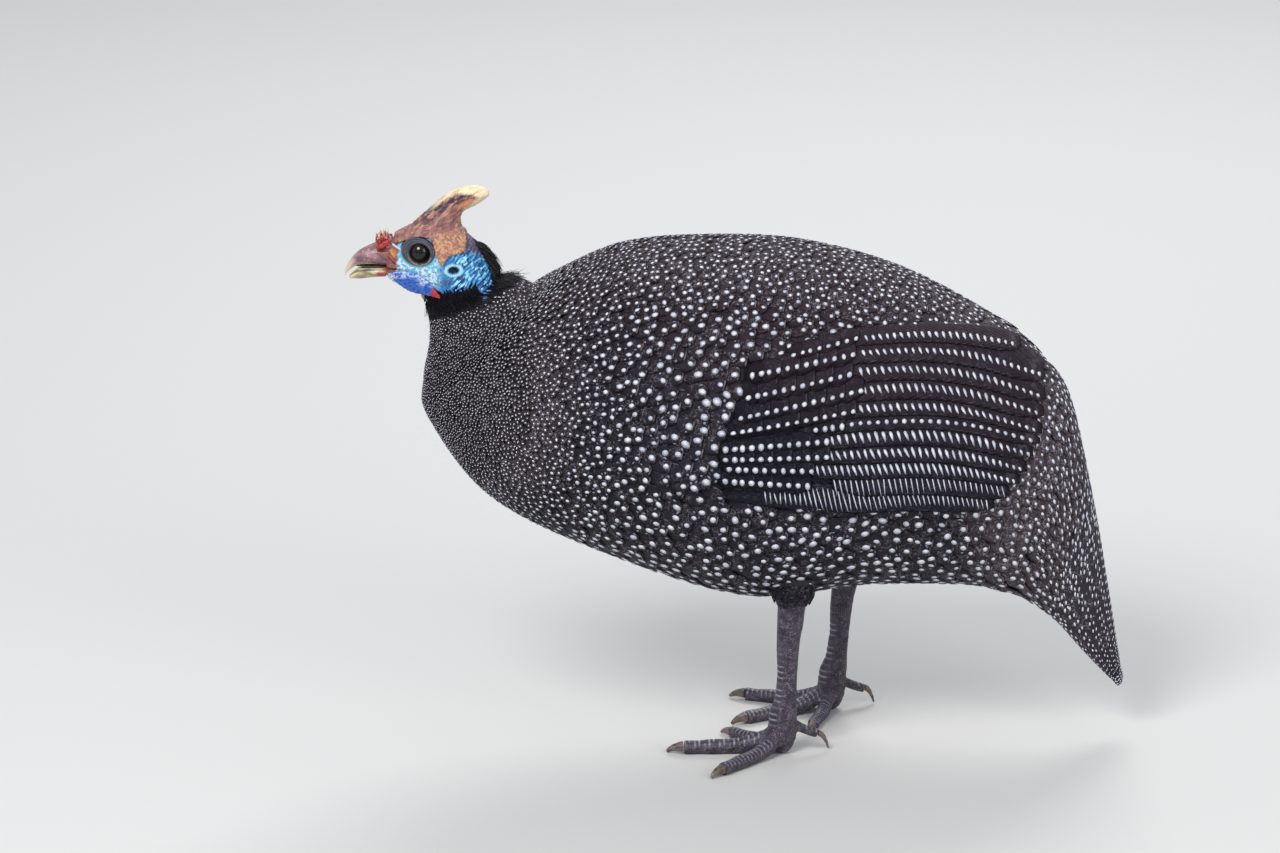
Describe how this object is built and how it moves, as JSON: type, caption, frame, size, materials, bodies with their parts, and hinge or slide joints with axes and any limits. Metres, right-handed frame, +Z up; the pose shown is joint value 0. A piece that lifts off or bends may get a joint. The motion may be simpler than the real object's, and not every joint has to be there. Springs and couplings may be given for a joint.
{
  "type": "guinea fowl",
  "caption": "Life-size still model of an adult helmeted guinea fowl standing hunched, with a bony casque, bare blue face, wattles, spotted dark plumage and a drooping tail.",
  "frame": {"origin": "centre of the bounding box in plan, on the floor that the feet stand on", "axes": "-X towards the bill, +X towards the tail, -Y towards the bird's left side, +Z up"},
  "size_m": [0.43, 0.1629, 0.3133],
  "materials": {
    "plumage": "soft feathers, near black with white spots and fine pale net lines",
    "bare_skin": "wrinkled bare skin, pale blue to deep blue with red tips",
    "casque_horn": "matt brown horn with ivory edges",
    "bill_horn": "satin horn, pinkish with an ivory edge",
    "eye": "wet dark brown",
    "leg_scales": "dull slate scales with pale edges",
    "claw_horn": "satin grey-brown horn"
  },
  "bodies": {
    "root": {"head": "bare_skin", "casque": "casque_horn", "bill_upper": "bill_horn", "bill_lower": "bill_horn", "eye_left": "eye", "eye_right": "eye", "wattle_left": "bare_skin", "wattle_right": "bare_skin", "neck": "plumage", "torso": "plumage", "tail": "plumage", "wing_left": "plumage", "wing_right": "plumage", "thigh_left": "plumage", "thigh_right": "plumage", "tarsus_left": "leg_scales", "tarsus_right": "leg_scales", "foot_left": "leg_scales", "foot_right": "leg_scales", "claw_left_middle": "claw_horn", "claw_left_outer": "claw_horn", "claw_left_inner": "claw_horn", "claw_left_hind": "claw_horn", "claw_right_middle": "claw_horn", "claw_right_outer": "claw_horn", "claw_right_inner": "claw_horn", "claw_right_hind": "claw_horn"}
  },
  "joints": []
}
